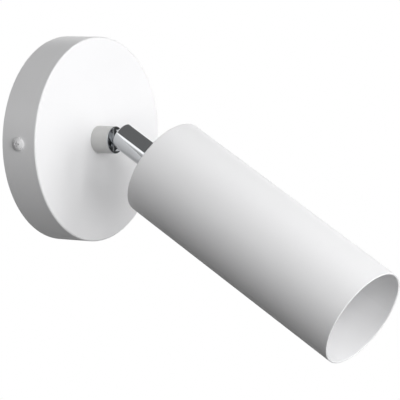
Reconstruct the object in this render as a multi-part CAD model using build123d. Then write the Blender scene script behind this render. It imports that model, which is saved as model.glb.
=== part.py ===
from build123d import *
import os
from math import cos, radians, sin, sqrt, tan

# Pivoting spotlight for a wall: a round rose, a chromed swivel joint and a tubular shade.
#
# Millimetres. The wall is the plane Y = 0 and the light stands out of it towards -Y, with +Z up.
# The origin is the middle of the rose's back, on the wall.
#
# Every sub-part is drawn in one of two local frames and then placed. In both, x runs along the
# wall, y is up and z points away from the wall:
#   WALL_FRAME  z straight out of the wall, from the wall's surface
#   HEAD_FRAME  z along the spotlight's axis, from the tilt axis

# ---- driving dimensions ------------------------------------------------------------------------

# rose
ROSE_DIAMETER = 120.0
ROSE_DEPTH = 24.0
ROSE_WALL = 1.2
ROSE_EDGE_RADIUS = 1.0
ROSE_RIM_RADIUS = 0.3

# cover screws, one on each side of the rim
COVER_SCREW_DIAMETER = 4.0
COVER_SCREW_LENGTH = 8.0
COVER_SCREW_HEAD_DIAMETER = 7.6
COVER_SCREW_HEAD_HEIGHT = 2.4
COVER_SCREW_HEAD_SIDE = 0.9
COVER_SCREW_OUT = 12.0
CROSS_WIDTH = 1.1
CROSS_SPAN = 4.0
CROSS_DEPTH = 1.3

# bracket behind the rose
BRACKET_THICKNESS = 1.5
BRACKET_WIDTH = 18.0
BRACKET_DISC_DIAMETER = 46.0
BRACKET_EAR_HEIGHT = 17.0
BRACKET_EAR_GAP = 0.35
BRACKET_BEND_RADIUS = 1.0
BRACKET_CORNER_RADIUS = 3.0
CABLE_HOLE_DIAMETER = 22.0
WALL_SLOT_SPACING = 70.0
WALL_SLOT_LENGTH = 16.0
WALL_SLOT_WIDTH = 4.5
BLOCK_TAB_WIDTH = 18.0
BLOCK_TAB_REACH = 45.0

# terminal block
POLE_PITCH = 10.0
POLE_COUNT = 3
BLOCK_DEPTH = 16.0
BLOCK_HEIGHT = 12.0
BLOCK_END_MARGIN = 0.5
BLOCK_EDGE_RADIUS = 1.0
BLOCK_WAIST_WIDTH = 1.6
BLOCK_WAIST_DEPTH = 2.5
BLOCK_FROM_AXIS = 35.0
BLOCK_SCREW_DIAMETER = 3.0
BLOCK_SCREW_HEAD_DIAMETER = 5.5
BLOCK_SCREW_HEAD_HEIGHT = 2.0
BLOCK_SCREW_SEAT = 10.6
SLEEVE_DIAMETER = 5.0
SLEEVE_BORE = 3.2
SLEEVE_LENGTH = 14.0
CLAMP_SCREW_DIAMETER = 3.0
CLAMP_SCREW_LENGTH = 5.0
CLAMP_SCREW_SPREAD = 4.0
DRIVER_SLOT_WIDTH = 0.7
DRIVER_SLOT_DEPTH = 0.9

# earth point
EARTH_SCREW_FROM_AXIS = 16.5
EARTH_SCREW_DIAMETER = 4.0
EARTH_SCREW_HEAD_DIAMETER = 7.0
EARTH_SCREW_HEAD_HEIGHT = 2.4
EARTH_TAG_DIAMETER = 8.0
EARTH_TAG_THICKNESS = 0.8
EARTH_BARREL_DIAMETER = 3.4
EARTH_BARREL_LENGTH = 5.0
EARTH_BARREL_START = 5.0

# leads
LEAD_DIAMETER = 1.9
LEAD_SPACING = 3.4
LEAD_ARC_SHARE = 0.45
LEAD_IN_TERMINAL = 4.0
LEAD_IN_NIPPLE = 8.0
LEAD_CORNER_FROM_BLOCK = 10.8
EARTH_LEAD_CORNER_FROM_BLOCK = 5.4

# threaded hollow nipples, M10 x 1, drawn at their nominal size
NIPPLE_DIAMETER = 10.0
NIPPLE_BORE = 7.2
NIPPLE_CHAMFER = 0.3
NUT_ACROSS_FLATS = 14.0
NUT_THICKNESS = 3.0
NUT_CHAMFER = 0.5
LOCK_WASHER_DIAMETER = 17.0
LOCK_WASHER_THICKNESS = 0.8
LOCK_WASHER_TEETH = 12
LOCK_WASHER_TOOTH_DEPTH = 1.6
NIPPLE_TAIL = 1.5
ROSE_NIPPLE_IN_COLLAR = 4.6
HEAD_NIPPLE_IN_FORK = 9.5
BUSH_RIM = 1.2
BUSH_RIM_RADIUS = 0.6
BUSH_WALL = 0.6
BUSH_LENGTH = 4.0

# swivel joint
JOINT_DIAMETER = 16.0
COLLAR_LENGTH = 11.6
COLLAR_EDGE_RADIUS = 0.3
FLANGE_THICKNESS = 0.8
FLANGE_EDGE_RADIUS = 0.3
SPIGOT_DIAMETER = 10.0
SPIGOT_LENGTH = 6.4
SPIGOT_BORE = 5.5
GROOVE_DEPTH = 0.9
GROOVE_WIDTH = 2.4
GROOVE_FROM_FLANGE = 1.8
GROOVE_LAND_ANGLE = 10.0
GRUB_DIAMETER = 3.0
GRUB_POINT_DIAMETER = 2.0
GRUB_HEX = 1.5
GRUB_SOCKET_DEPTH = 1.2
GRUB_BELOW_SURFACE = 0.4
PIVOT_FROM_FLANGE = 9.55
TONGUE_THICKNESS = 5.0
TONGUE_RADIUS = 6.2
TONGUE_ROOT_RADIUS = 0.6
LEAD_HOLE_DIAMETER = 2.3
LEAD_HOLE_AT_PIVOT = 4.1
LEAD_HOLE_ANGLE = 9.0
FRICTION_WASHER_THICKNESS = 0.5
FRICTION_WASHER_DIAMETER = 11.0
TILT_SCREW_DIAMETER = 4.0
TILT_SCREW_HEAD_DIAMETER = 7.0
TILT_SCREW_HEAD_HEIGHT = 2.6
TILT_SCREW_HEX = 2.5
TILT_SCREW_SOCKET_DEPTH = 1.4
TILT_SCREW_CHEEK = 1.6
TILT_THREAD_DEPTH = 3.6
TILT_AT_REST = 30.0
FORK_BACK_END = 6.0
FORK_EDGE_RADIUS = 1.0
FORK_SLOT_FLOOR = 7.3
ARM_LENGTH = 29.0

# shade
SHADE_DIAMETER = 60.0
SHADE_LENGTH = 155.5
SHADE_WALL = 1.2
SHADE_BACK_THICKNESS = 1.5
SHADE_BACK_RADIUS = 0.8
SHADE_LIP_RADIUS = 0.4

# lampholder and what carries it
HOLDER_BRACKET_THICKNESS = 1.2
HOLDER_BRACKET_WIDTH = 12.0
HOLDER_BRACKET_SPAN = 36.0
HOLDER_BRACKET_BEND_RADIUS = 1.0
HOLDER_BRACKET_FOOT_DIAMETER = 20.0
HOLDER_FROM_MOUTH = 100.0
HOLDER_TAB_LENGTH = 9.0
HOLDER_LENGTH = 34.0
HOLDER_WIDTH = 18.0
HOLDER_HEIGHT = 14.0
HOLDER_EDGE_RADIUS = 0.8
HOLDER_SCREW_SPACING = 26.0
HOLDER_SCREW_DIAMETER = 3.0
HOLDER_SCREW_HEAD_DIAMETER = 5.5
HOLDER_SCREW_HEAD_HEIGHT = 2.0
HOLDER_SCREW_SEAT = 5.0
PIN_SPACING = 10.0
PIN_HOLE_DIAMETER = 5.6
PIN_TWIST_SLOT_WIDTH = 3.4
PIN_TWIST_ANGLE = 24.0
PIN_HOLE_DEPTH = 5.2
CONTACT_POCKET_LENGTH = 7.0
CONTACT_POCKET_WIDTH = 9.0
CONTACT_POCKET_DEPTH = 9.0
CONTACT_THICKNESS = 0.5
CONTACT_WIDTH = 5.0
CONTACT_BASE = 0.8
CONTACT_BEND_RADIUS = 0.6

# clearances
THREAD_CLEARANCE = 0.05
RUNNING_CLEARANCE = 0.05
SCREW_HOLE_CLEARANCE = 0.2
LOOSE_CLEARANCE = 0.3
SPRING_CLEARANCE = 0.1
WALL_CLEARANCE = 0.2

# ---- sizes that follow -------------------------------------------------------------------------

ROSE_RADIUS = ROSE_DIAMETER / 2
ROSE_INNER_RADIUS = ROSE_RADIUS - ROSE_WALL
ROSE_INNER_FRONT = ROSE_DEPTH - ROSE_WALL
JOINT_RADIUS = JOINT_DIAMETER / 2
JOINT_BORE_RADIUS = NIPPLE_DIAMETER / 2 + THREAD_CLEARANCE
COLLAR_FRONT = ROSE_DEPTH + COLLAR_LENGTH
FLANGE_BACK = COLLAR_FRONT + RUNNING_CLEARANCE
FLANGE_FRONT = FLANGE_BACK + FLANGE_THICKNESS
PIVOT_FROM_WALL = FLANGE_FRONT + PIVOT_FROM_FLANGE
GROOVE_FRONT = FLANGE_BACK - GROOVE_FROM_FLANGE
GROOVE_MIDDLE = GROOVE_FRONT - GROOVE_WIDTH / 2
ROSE_NUT_BACK = ROSE_INNER_FRONT - LOCK_WASHER_THICKNESS - NUT_THICKNESS
ROSE_NIPPLE_BACK = ROSE_NUT_BACK - NIPPLE_TAIL
SLOT_HALF_WIDTH = TONGUE_THICKNESS / 2 + FRICTION_WASHER_THICKNESS + 2 * RUNNING_CLEARANCE
SCREW_HEAD_SEAT = SLOT_HALF_WIDTH + TILT_SCREW_CHEEK
SHADE_RADIUS = SHADE_DIAMETER / 2
SHADE_INNER_RADIUS = SHADE_RADIUS - SHADE_WALL
SHADE_MOUTH = ARM_LENGTH + SHADE_LENGTH
SHADE_FLOOR = ARM_LENGTH + SHADE_BACK_THICKNESS
HEAD_WASHER_BACK = SHADE_FLOOR + HOLDER_BRACKET_THICKNESS
HEAD_NUT_BACK = HEAD_WASHER_BACK + LOCK_WASHER_THICKNESS
HEAD_NIPPLE_FRONT = HEAD_NUT_BACK + NUT_THICKNESS + NIPPLE_TAIL
HOLDER_BASE = SHADE_MOUTH - HOLDER_FROM_MOUTH
HOLDER_FACE = HOLDER_BASE + HOLDER_HEIGHT
BLOCK_LENGTH = POLE_COUNT * POLE_PITCH + 2 * BLOCK_END_MARGIN
SLEEVE_CENTRE = BRACKET_THICKNESS + BLOCK_HEIGHT / 2
BLOCK_NEAR_SIDE = BLOCK_FROM_AXIS - BLOCK_DEPTH / 2
BLOCK_SCREW_X = POLE_PITCH / 2
EARTH_TAG_FRONT = BRACKET_THICKNESS + EARTH_TAG_THICKNESS

WALL_FRAME = Plane(origin=(0, 0, 0), x_dir=(1, 0, 0), z_dir=(0, -1, 0))
HEAD_FRAME = Plane(
    origin=(0, -PIVOT_FROM_WALL, 0),
    x_dir=(1, 0, 0),
    z_dir=(0, -cos(radians(TILT_AT_REST)), -sin(radians(TILT_AT_REST))),
)

# ---- shapes that repeat ------------------------------------------------------------------------


def rod(radius, start, end, x=0.0, y=0.0):
    """A round bar along local z, from start to end."""
    return Pos(x, y, start) * Cylinder(radius, end - start, align=(Align.CENTER, Align.CENTER, Align.MIN))


def cross_rod(radius, start, end, y=0.0, z=0.0):
    """A round bar along local x, from start to end."""
    return Pos(start, y, z) * Rot(0, 90, 0) * rod(radius, 0, end - start)


def block(width, height, start, end, x=0.0, y=0.0):
    """A rectangular bar along local z, width along x and height along y."""
    return Pos(x, y, start) * Box(width, height, end - start, align=(Align.CENTER, Align.CENTER, Align.MIN))


def hexagon_bar(across_flats, start, end):
    """A six-sided bar along local z."""
    outline = RegularPolygon(across_flats / 2, 6, major_radius=False)
    return extrude(Pos(0, 0, start) * outline, end - start)


def slot_bar(length, width, start, end, x=0.0, y=0.0):
    """A bar with round ends along local z, its length along x."""
    return extrude(Pos(x, y, start) * SlotOverall(length, width), end - start)


def slotted_head(radius, height, start, x=0.0, y=0.0):
    """A flat round screw head with a straight driver slot, standing on start."""
    slot = block(2 * radius, DRIVER_SLOT_WIDTH, start + height - DRIVER_SLOT_DEPTH, start + height, x, y)
    return rod(radius, start, start + height, x, y) - slot


def hollow_nipple(start, end):
    """A threaded tube for leads, its inner edges eased."""
    tube = rod(NIPPLE_DIAMETER / 2, start, end) - rod(NIPPLE_BORE / 2, start, end)
    return chamfer(tube.edges().filter_by(GeomType.CIRCLE), NIPPLE_CHAMFER)


def facing(outward):
    """A turn for a piece drawn along +z: none for outward = 1, half a turn for outward = -1."""
    return Rot(0 if outward > 0 else 180, 0, 0)


def nipple_nut(seat, outward):
    """A thin hexagon nut on its washer, chamfered on its free side."""
    nut = hexagon_bar(NUT_ACROSS_FLATS, 0, NUT_THICKNESS)
    corner = NUT_ACROSS_FLATS / 2 / cos(radians(30))
    cone = Cone(corner + NUT_THICKNESS - NUT_CHAMFER, corner - NUT_CHAMFER, NUT_THICKNESS)
    nut &= Pos(0, 0, NUT_THICKNESS / 2) * cone
    return Pos(0, 0, seat) * facing(outward) * (nut - rod(JOINT_BORE_RADIUS, 0, NUT_THICKNESS))


def lock_washer(start):
    """A washer with teeth cut round its outer edge."""
    end = start + LOCK_WASHER_THICKNESS
    radius = LOCK_WASHER_DIAMETER / 2
    ring = rod(radius, start, end) - rod(JOINT_BORE_RADIUS, start, end)
    for tooth in range(LOCK_WASHER_TEETH):
        notch = block(2 * LOCK_WASHER_TOOTH_DEPTH, LOCK_WASHER_TOOTH_DEPTH, start, end, x=radius)
        ring -= Rot(0, 0, 360 * tooth / LOCK_WASHER_TEETH) * notch
    return ring


def lead_along(points, radii):
    """A round lead along straight runs that are joined by tangent arcs."""
    path = FilletPolyline(*points, radius=radii)
    section = Plane(origin=path @ 0, z_dir=path % 0) * Circle(LEAD_DIAMETER / 2)
    return sweep(section, path=path)


def corner_radii(points):
    """For each corner, the arc that its shorter run leaves room for."""
    radii = []
    for before, corner, after in zip(points, points[1:], points[2:]):
        into, out = Vector(corner) - Vector(before), Vector(after) - Vector(corner)
        turn = radians(into.get_angle(out))
        radii.append(LEAD_ARC_SHARE * min(into.length, out.length) / tan(turn / 2))
    return radii


def folded_strip(points, thickness, inner_radius, width):
    """A strip bent along its outer side, whose points lie in the x-z plane; width is along y."""
    outer_side = FilletPolyline(*points, radius=inner_radius + thickness)
    outline = offset(outer_side, thickness, side=Side.LEFT, closed=True)
    return extrude(Plane.XZ * make_face(outline), width / 2, both=True)


def hex_socket(across_flats, depth, top):
    """The recess for a hexagon key, cut down from top."""
    return hexagon_bar(across_flats, top - depth, top)


def together(pieces):
    """Separate solids that share one name."""
    return Compound([solid for piece in pieces for solid in piece.solids()])


def mirrored_pair(piece, about=Plane.YZ):
    """The piece and its mirror image, as a rule in the upright plane through the middle."""
    return together([piece, mirror(piece, about=about)])


# ---- rose --------------------------------------------------------------------------------------


def rose_cover():
    """A pressed round cover, open towards the wall."""
    shell = rod(ROSE_RADIUS, 0, ROSE_DEPTH) - rod(ROSE_INNER_RADIUS, 0, ROSE_INNER_FRONT)
    front_edge = shell.edges().filter_by(GeomType.CIRCLE).group_by(Axis.Z)[-1]
    shell = fillet(front_edge, ROSE_EDGE_RADIUS)
    rim_edges = shell.edges().filter_by(GeomType.CIRCLE).group_by(Axis.Z)[0]
    shell = fillet(rim_edges, ROSE_RIM_RADIUS)
    shell -= rod(NIPPLE_DIAMETER / 2 + SCREW_HOLE_CLEARANCE, ROSE_INNER_FRONT, ROSE_DEPTH)
    hole_radius = COVER_SCREW_DIAMETER / 2 + SCREW_HOLE_CLEARANCE
    return shell - cross_rod(hole_radius, -ROSE_RADIUS, ROSE_RADIUS, z=COVER_SCREW_OUT)


def pan_head_screw():
    """A domed screw with a cross recess, its head standing on z = 0 and its shank below."""
    radius, height = COVER_SCREW_HEAD_DIAMETER / 2, COVER_SCREW_HEAD_HEIGHT
    rise = height - COVER_SCREW_HEAD_SIDE
    dome_radius = (radius**2 + rise**2) / (2 * rise)
    head = rod(radius, 0, height) & Pos(0, 0, height - dome_radius) * Sphere(dome_radius)
    recess = Pos(0, 0, height - CROSS_DEPTH / 2) * Cone(CROSS_SPAN / 4, CROSS_SPAN / 2, CROSS_DEPTH)
    for angle in (0, 90):
        wing = Rot(0, 0, angle) * block(CROSS_SPAN, CROSS_WIDTH, 0, height)
        head -= recess & wing
    return head + rod(COVER_SCREW_DIAMETER / 2, -COVER_SCREW_LENGTH, 0)


def cover_screws():
    """Two screws through the rim into the bracket's ears."""
    right = Pos(ROSE_RADIUS, 0, COVER_SCREW_OUT) * Rot(0, 90, 0) * pan_head_screw()
    return mirrored_pair(right)


def wall_bracket():
    """A pressed strip on the wall with turned-up ears for the cover screws."""
    thickness = BRACKET_THICKNESS
    ear_outer = sqrt(ROSE_INNER_RADIUS**2 - (BRACKET_WIDTH / 2) ** 2) - BRACKET_EAR_GAP
    bend_points = [(-ear_outer, BRACKET_EAR_HEIGHT), (-ear_outer, 0), (ear_outer, 0),
                   (ear_outer, BRACKET_EAR_HEIGHT)]
    strip = folded_strip(bend_points, thickness, BRACKET_BEND_RADIUS, BRACKET_WIDTH)
    ear_corners = strip.edges().filter_by(Axis.X).group_by(Axis.Z)[-1]
    strip = fillet(ear_corners, BRACKET_CORNER_RADIUS)
    tab = block(BLOCK_TAB_WIDTH, BLOCK_TAB_REACH, 0, thickness, y=BLOCK_TAB_REACH / 2)
    tab = fillet(tab.edges().filter_by(Axis.Z).group_by(Axis.Y)[-1], BRACKET_CORNER_RADIUS)
    plate = strip + rod(BRACKET_DISC_DIAMETER / 2, 0, thickness) + tab
    plate -= rod(CABLE_HOLE_DIAMETER / 2, 0, thickness)
    for side in (-1, 1):
        slot_x = side * WALL_SLOT_SPACING / 2
        plate -= slot_bar(WALL_SLOT_LENGTH, WALL_SLOT_WIDTH, 0, thickness, x=slot_x)
    cover_thread = COVER_SCREW_DIAMETER / 2 + THREAD_CLEARANCE
    block_thread = BLOCK_SCREW_DIAMETER / 2 + THREAD_CLEARANCE
    earth_thread = EARTH_SCREW_DIAMETER / 2 + THREAD_CLEARANCE
    plate -= cross_rod(cover_thread, -ear_outer, ear_outer, z=COVER_SCREW_OUT)
    plate -= rod(block_thread, 0, thickness, BLOCK_SCREW_X, BLOCK_FROM_AXIS)
    return plate - rod(earth_thread, 0, thickness, x=-EARTH_SCREW_FROM_AXIS)


# ---- terminal block and earth point ------------------------------------------------------------


def pole_positions():
    """The x of each pole, in order."""
    return [(pole - (POLE_COUNT - 1) / 2) * POLE_PITCH for pole in range(POLE_COUNT)]


def clamp_positions():
    """The x and y of each clamping screw: two for each pole."""
    offsets = (-CLAMP_SCREW_SPREAD, CLAMP_SCREW_SPREAD)
    return [(x, BLOCK_FROM_AXIS + offset) for x in pole_positions() for offset in offsets]


def along_pole(x, radius, length):
    """A round bar through a pole, along y."""
    return Pos(x, BLOCK_FROM_AXIS, SLEEVE_CENTRE) * Rot(90, 0, 0) * Cylinder(radius, length)


def terminal_block():
    """A moulded block: one bore for each sleeve and one chimney for each clamping screw."""
    back, front = BRACKET_THICKNESS, BRACKET_THICKNESS + BLOCK_HEIGHT
    body = block(BLOCK_LENGTH, BLOCK_DEPTH, back, front, y=BLOCK_FROM_AXIS)
    body = fillet(body.edges().filter_by(Axis.Y).group_by(Axis.Z)[-1], BLOCK_EDGE_RADIUS)
    for x in pole_positions()[1:]:
        waist = block(BLOCK_WAIST_WIDTH, BLOCK_DEPTH, front - BLOCK_WAIST_DEPTH, front,
                      x - POLE_PITCH / 2, BLOCK_FROM_AXIS)
        body -= waist
    for x in pole_positions():
        body -= along_pole(x, SLEEVE_DIAMETER / 2 + THREAD_CLEARANCE, BLOCK_DEPTH)
    for x, y in clamp_positions():
        body -= rod(CLAMP_SCREW_DIAMETER / 2 + SCREW_HOLE_CLEARANCE, SLEEVE_CENTRE, front, x, y)
    hole_radius = BLOCK_SCREW_DIAMETER / 2 + SCREW_HOLE_CLEARANCE
    head_radius = BLOCK_SCREW_HEAD_DIAMETER / 2 + SCREW_HOLE_CLEARANCE
    body -= rod(hole_radius, back, front, BLOCK_SCREW_X, BLOCK_FROM_AXIS)
    return body - rod(head_radius, BLOCK_SCREW_SEAT, front, BLOCK_SCREW_X, BLOCK_FROM_AXIS)


def terminal_sleeves():
    """The brass sleeves that take the leads, tapped for the clamping screws."""
    sleeves = []
    for x in pole_positions():
        sleeve = along_pole(x, SLEEVE_DIAMETER / 2, SLEEVE_LENGTH)
        sleeve -= along_pole(x, SLEEVE_BORE / 2, SLEEVE_LENGTH)
        for y in (BLOCK_FROM_AXIS - CLAMP_SCREW_SPREAD, BLOCK_FROM_AXIS + CLAMP_SCREW_SPREAD):
            hole_radius = CLAMP_SCREW_DIAMETER / 2 + THREAD_CLEARANCE
            sleeve -= rod(hole_radius, SLEEVE_CENTRE, SLEEVE_CENTRE + SLEEVE_DIAMETER, x, y)
        sleeves.append(sleeve)
    return together(sleeves)


def terminal_screws():
    """Headless slotted screws, each standing on its lead."""
    start = SLEEVE_CENTRE + LEAD_DIAMETER / 2 + LOOSE_CLEARANCE
    radius = CLAMP_SCREW_DIAMETER / 2
    return together(slotted_head(radius, CLAMP_SCREW_LENGTH, start, x, y) for x, y in clamp_positions())


def block_screw():
    """The screw that holds the block on the bracket's tab."""
    x, y = BLOCK_SCREW_X, BLOCK_FROM_AXIS
    head = slotted_head(BLOCK_SCREW_HEAD_DIAMETER / 2, BLOCK_SCREW_HEAD_HEIGHT, BLOCK_SCREW_SEAT, x, y)
    return head + rod(BLOCK_SCREW_DIAMETER / 2, WALL_CLEARANCE, BLOCK_SCREW_SEAT, x, y)


def earth_screw():
    """The screw that holds the earth tag on the bracket."""
    x = -EARTH_SCREW_FROM_AXIS
    head = slotted_head(EARTH_SCREW_HEAD_DIAMETER / 2, EARTH_SCREW_HEAD_HEIGHT, EARTH_TAG_FRONT, x)
    return head + rod(EARTH_SCREW_DIAMETER / 2, WALL_CLEARANCE, EARTH_TAG_FRONT, x)


def earth_tag():
    """A ring tag with a barrel crimped on the earth lead."""
    back, front = BRACKET_THICKNESS, EARTH_TAG_FRONT
    barrel_radius = EARTH_BARREL_DIAMETER / 2
    hole_radius = EARTH_SCREW_DIAMETER / 2 + SCREW_HOLE_CLEARANCE
    neck_end = EARTH_BARREL_START + EARTH_BARREL_LENGTH / 2
    barrel_place = Pos(0, EARTH_BARREL_START, back + barrel_radius) * Rot(-90, 0, 0)
    tag = rod(EARTH_TAG_DIAMETER / 2, back, front)
    tag += block(barrel_radius, neck_end, back, front, y=neck_end / 2)
    tag += barrel_place * rod(barrel_radius, 0, EARTH_BARREL_LENGTH)
    tag -= barrel_place * rod(LEAD_DIAMETER / 2 + THREAD_CLEARANCE, 0, EARTH_BARREL_LENGTH)
    return Pos(-EARTH_SCREW_FROM_AXIS, 0, 0) * (tag - rod(hole_radius, back, front))


# ---- leads -------------------------------------------------------------------------------------


def rose_leads():
    """The two leads from the outer poles into the rose's nipple."""
    pole = pole_positions()[-1]
    points = [
        (LEAD_SPACING / 2, 0, ROSE_NIPPLE_BACK + LEAD_IN_NIPPLE),
        (LEAD_SPACING / 2, 0, SLEEVE_CENTRE),
        (pole, BLOCK_NEAR_SIDE - LEAD_CORNER_FROM_BLOCK, SLEEVE_CENTRE),
        (pole, BLOCK_NEAR_SIDE + LEAD_IN_TERMINAL, SLEEVE_CENTRE),
    ]
    return mirrored_pair(lead_along(points, corner_radii(points)))


def earth_lead():
    """The lead from the middle pole to the earth tag."""
    x, level = -EARTH_SCREW_FROM_AXIS, BRACKET_THICKNESS + EARTH_BARREL_DIAMETER / 2
    barrel_end = EARTH_BARREL_START + EARTH_BARREL_LENGTH
    corner_y = BLOCK_NEAR_SIDE - EARTH_LEAD_CORNER_FROM_BLOCK
    points = [
        (0, BLOCK_NEAR_SIDE + LEAD_IN_TERMINAL, SLEEVE_CENTRE),
        (0, corner_y, SLEEVE_CENTRE),
        (x, corner_y, level),
        (x, barrel_end - LEAD_IN_TERMINAL, level),
    ]
    return lead_along(points, corner_radii(points))


def joint_leads():
    """The stretch of each lead that runs through the tongue."""
    start = -SPIGOT_LENGTH - FLANGE_THICKNESS
    return mirrored_pair(lead_hole_place() * rod(LEAD_DIAMETER / 2, start, TONGUE_RADIUS / 2), Plane.XZ)


def holder_leads():
    """The two leads from the lampholder's contacts down into the arm."""
    wide, narrow = PIN_SPACING / 2, LEAD_SPACING / 2
    third = (HOLDER_BASE - HEAD_NIPPLE_FRONT) / 3
    points = [
        (wide, 0, HOLDER_BASE + CONTACT_BASE - SPRING_CLEARANCE),
        (wide, 0, HOLDER_BASE - third),
        (narrow, 0, HEAD_NIPPLE_FRONT + third),
        (narrow, 0, FORK_SLOT_FLOOR + LEAD_DIAMETER),
    ]
    return mirrored_pair(lead_along(points, corner_radii(points)))


# ---- swivel joint ------------------------------------------------------------------------------


def nipple_bush(nipple_end, outward):
    """A rimmed bush that lines a nipple's end; outward is +1 or -1 along local z."""
    lining = NIPPLE_BORE / 2 - RUNNING_CLEARANCE
    bush = rod(NIPPLE_DIAMETER / 2, 0, BUSH_RIM) + rod(lining, -BUSH_LENGTH, 0)
    bush -= rod(lining - BUSH_WALL, -BUSH_LENGTH, BUSH_RIM)
    rim_edge = bush.edges().filter_by(GeomType.CIRCLE).group_by(Axis.Z)[-1]
    return Pos(0, 0, nipple_end) * facing(outward) * fillet(rim_edge, BUSH_RIM_RADIUS)


def swivel_collar():
    """The white collar on the rose, bored for the nipple behind and the spigot in front."""
    collar = rod(JOINT_RADIUS, ROSE_DEPTH, COLLAR_FRONT)
    collar = fillet(collar.edges().group_by(Axis.Z)[-1], COLLAR_EDGE_RADIUS)
    collar -= rod(JOINT_BORE_RADIUS, ROSE_DEPTH, COLLAR_FRONT)
    return collar - grub_place() * rod(GRUB_DIAMETER / 2 + THREAD_CLEARANCE, 0, JOINT_DIAMETER)


def grub_place():
    """Local z of the grub screw points down and outwards from the joint's axis."""
    return Pos(0, 0, GROOVE_MIDDLE) * Rot(90, 0, 0)


def pan_grub_screw():
    """A grub screw whose dog point runs in the spigot's groove."""
    point_end = SPIGOT_DIAMETER / 2 - GROOVE_DEPTH + RUNNING_CLEARANCE
    shoulder = SPIGOT_DIAMETER / 2 + RUNNING_CLEARANCE + SPRING_CLEARANCE
    top = JOINT_RADIUS - GRUB_BELOW_SURFACE
    screw = rod(GRUB_DIAMETER / 2, shoulder, top) + rod(GRUB_POINT_DIAMETER / 2, point_end, shoulder)
    return grub_place() * (screw - hex_socket(GRUB_HEX, GRUB_SOCKET_DEPTH, top))


def lead_hole_place():
    """Local z runs up one lead hole of the tongue, from beside the tilt axis."""
    return Pos(0, LEAD_HOLE_AT_PIVOT, PIVOT_FROM_WALL) * Rot(-LEAD_HOLE_ANGLE, 0, 0)


def swivel_tongue():
    """A turned spigot and flange with a flat, round-ended tongue for the tilt axis."""
    spigot_back = FLANGE_BACK - SPIGOT_LENGTH
    groove_section = Plane.XZ * Pos(SPIGOT_DIAMETER / 2, GROOVE_MIDDLE) * Rectangle(
        2 * GROOVE_DEPTH, GROOVE_WIDTH)
    groove = Rot(0, 0, 90 + GROOVE_LAND_ANGLE / 2) * revolve(
        groove_section, Axis.Z, revolution_arc=360 - GROOVE_LAND_ANGLE)
    spigot = rod(SPIGOT_DIAMETER / 2, spigot_back, FLANGE_BACK) - groove
    flange = rod(JOINT_RADIUS, FLANGE_BACK, FLANGE_FRONT)
    flange = fillet(flange.edges().group_by(Axis.Z)[-1], FLANGE_EDGE_RADIUS)
    tongue = block(TONGUE_THICKNESS, 2 * TONGUE_RADIUS, FLANGE_FRONT, PIVOT_FROM_WALL)
    tongue += cross_rod(TONGUE_RADIUS, -TONGUE_THICKNESS / 2, TONGUE_THICKNESS / 2, z=PIVOT_FROM_WALL)
    body = flange + tongue
    root_edges = body.edges().filter_by(Axis.Y).group_by(Axis.Z)[0]
    body = fillet(root_edges, TONGUE_ROOT_RADIUS) + spigot
    body -= rod(SPIGOT_BORE / 2, spigot_back, FLANGE_BACK - FLANGE_THICKNESS)
    body -= cross_rod(TILT_SCREW_DIAMETER / 2 + RUNNING_CLEARANCE, -TONGUE_THICKNESS, TONGUE_THICKNESS,
                      z=PIVOT_FROM_WALL)
    hole_start = FLANGE_BACK - 2 * FLANGE_THICKNESS - PIVOT_FROM_WALL
    lead_hole = lead_hole_place() * rod(LEAD_HOLE_DIAMETER / 2, hole_start, 2 * TONGUE_RADIUS)
    return body - lead_hole - mirror(lead_hole, about=Plane.XZ)


def swivel_fork():
    """The arm: a round bar, slotted from below for the tongue, tapped in front for a nipple."""
    bar = rod(JOINT_RADIUS, -FORK_BACK_END, ARM_LENGTH)
    bar = fillet(bar.edges().group_by(Axis.Z)[0], FORK_EDGE_RADIUS)
    corner = Pos(0, -JOINT_RADIUS, -FORK_BACK_END) * Box(JOINT_DIAMETER, JOINT_DIAMETER, 2 * FORK_BACK_END)
    bar -= corner - cross_rod(JOINT_RADIUS, -JOINT_RADIUS, JOINT_RADIUS)
    slot_height = JOINT_RADIUS + TONGUE_RADIUS + LOOSE_CLEARANCE
    bar -= block(2 * SLOT_HALF_WIDTH, slot_height, -FORK_BACK_END, FORK_SLOT_FLOOR,
                 y=slot_height / 2 - JOINT_RADIUS)
    bar -= rod(NIPPLE_BORE / 2, FORK_SLOT_FLOOR, ARM_LENGTH)
    bar -= rod(JOINT_BORE_RADIUS, ARM_LENGTH - HEAD_NIPPLE_IN_FORK - LOOSE_CLEARANCE, ARM_LENGTH)
    bar -= cross_rod(TILT_SCREW_DIAMETER / 2 + RUNNING_CLEARANCE, 0, JOINT_RADIUS)
    bar -= cross_rod(TILT_SCREW_HEAD_DIAMETER / 2 + SCREW_HOLE_CLEARANCE, SCREW_HEAD_SEAT, JOINT_RADIUS)
    thread_end = SLOT_HALF_WIDTH + TILT_THREAD_DEPTH
    return bar - cross_rod(TILT_SCREW_DIAMETER / 2 + THREAD_CLEARANCE, -thread_end, 0)


def tilt_screw():
    """The screw that the head tilts on, its socket head sunk in the fork's far cheek."""
    end = SLOT_HALF_WIDTH + TILT_THREAD_DEPTH - LOOSE_CLEARANCE
    top = SCREW_HEAD_SEAT + TILT_SCREW_HEAD_HEIGHT
    screw = rod(TILT_SCREW_HEAD_DIAMETER / 2, SCREW_HEAD_SEAT, top)
    screw += rod(TILT_SCREW_DIAMETER / 2, -end, SCREW_HEAD_SEAT)
    return Rot(0, 90, 0) * (screw - hex_socket(TILT_SCREW_HEX, TILT_SCREW_SOCKET_DEPTH, top))


def friction_washers():
    """Two washers that grip the tongue, so that the head stays where it is set."""
    start = TONGUE_THICKNESS / 2 + RUNNING_CLEARANCE
    end = start + FRICTION_WASHER_THICKNESS
    ring = cross_rod(FRICTION_WASHER_DIAMETER / 2, start, end)
    return mirrored_pair(ring - cross_rod(TILT_SCREW_DIAMETER / 2 + RUNNING_CLEARANCE, start, end))


# ---- shade and lampholder ----------------------------------------------------------------------


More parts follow.
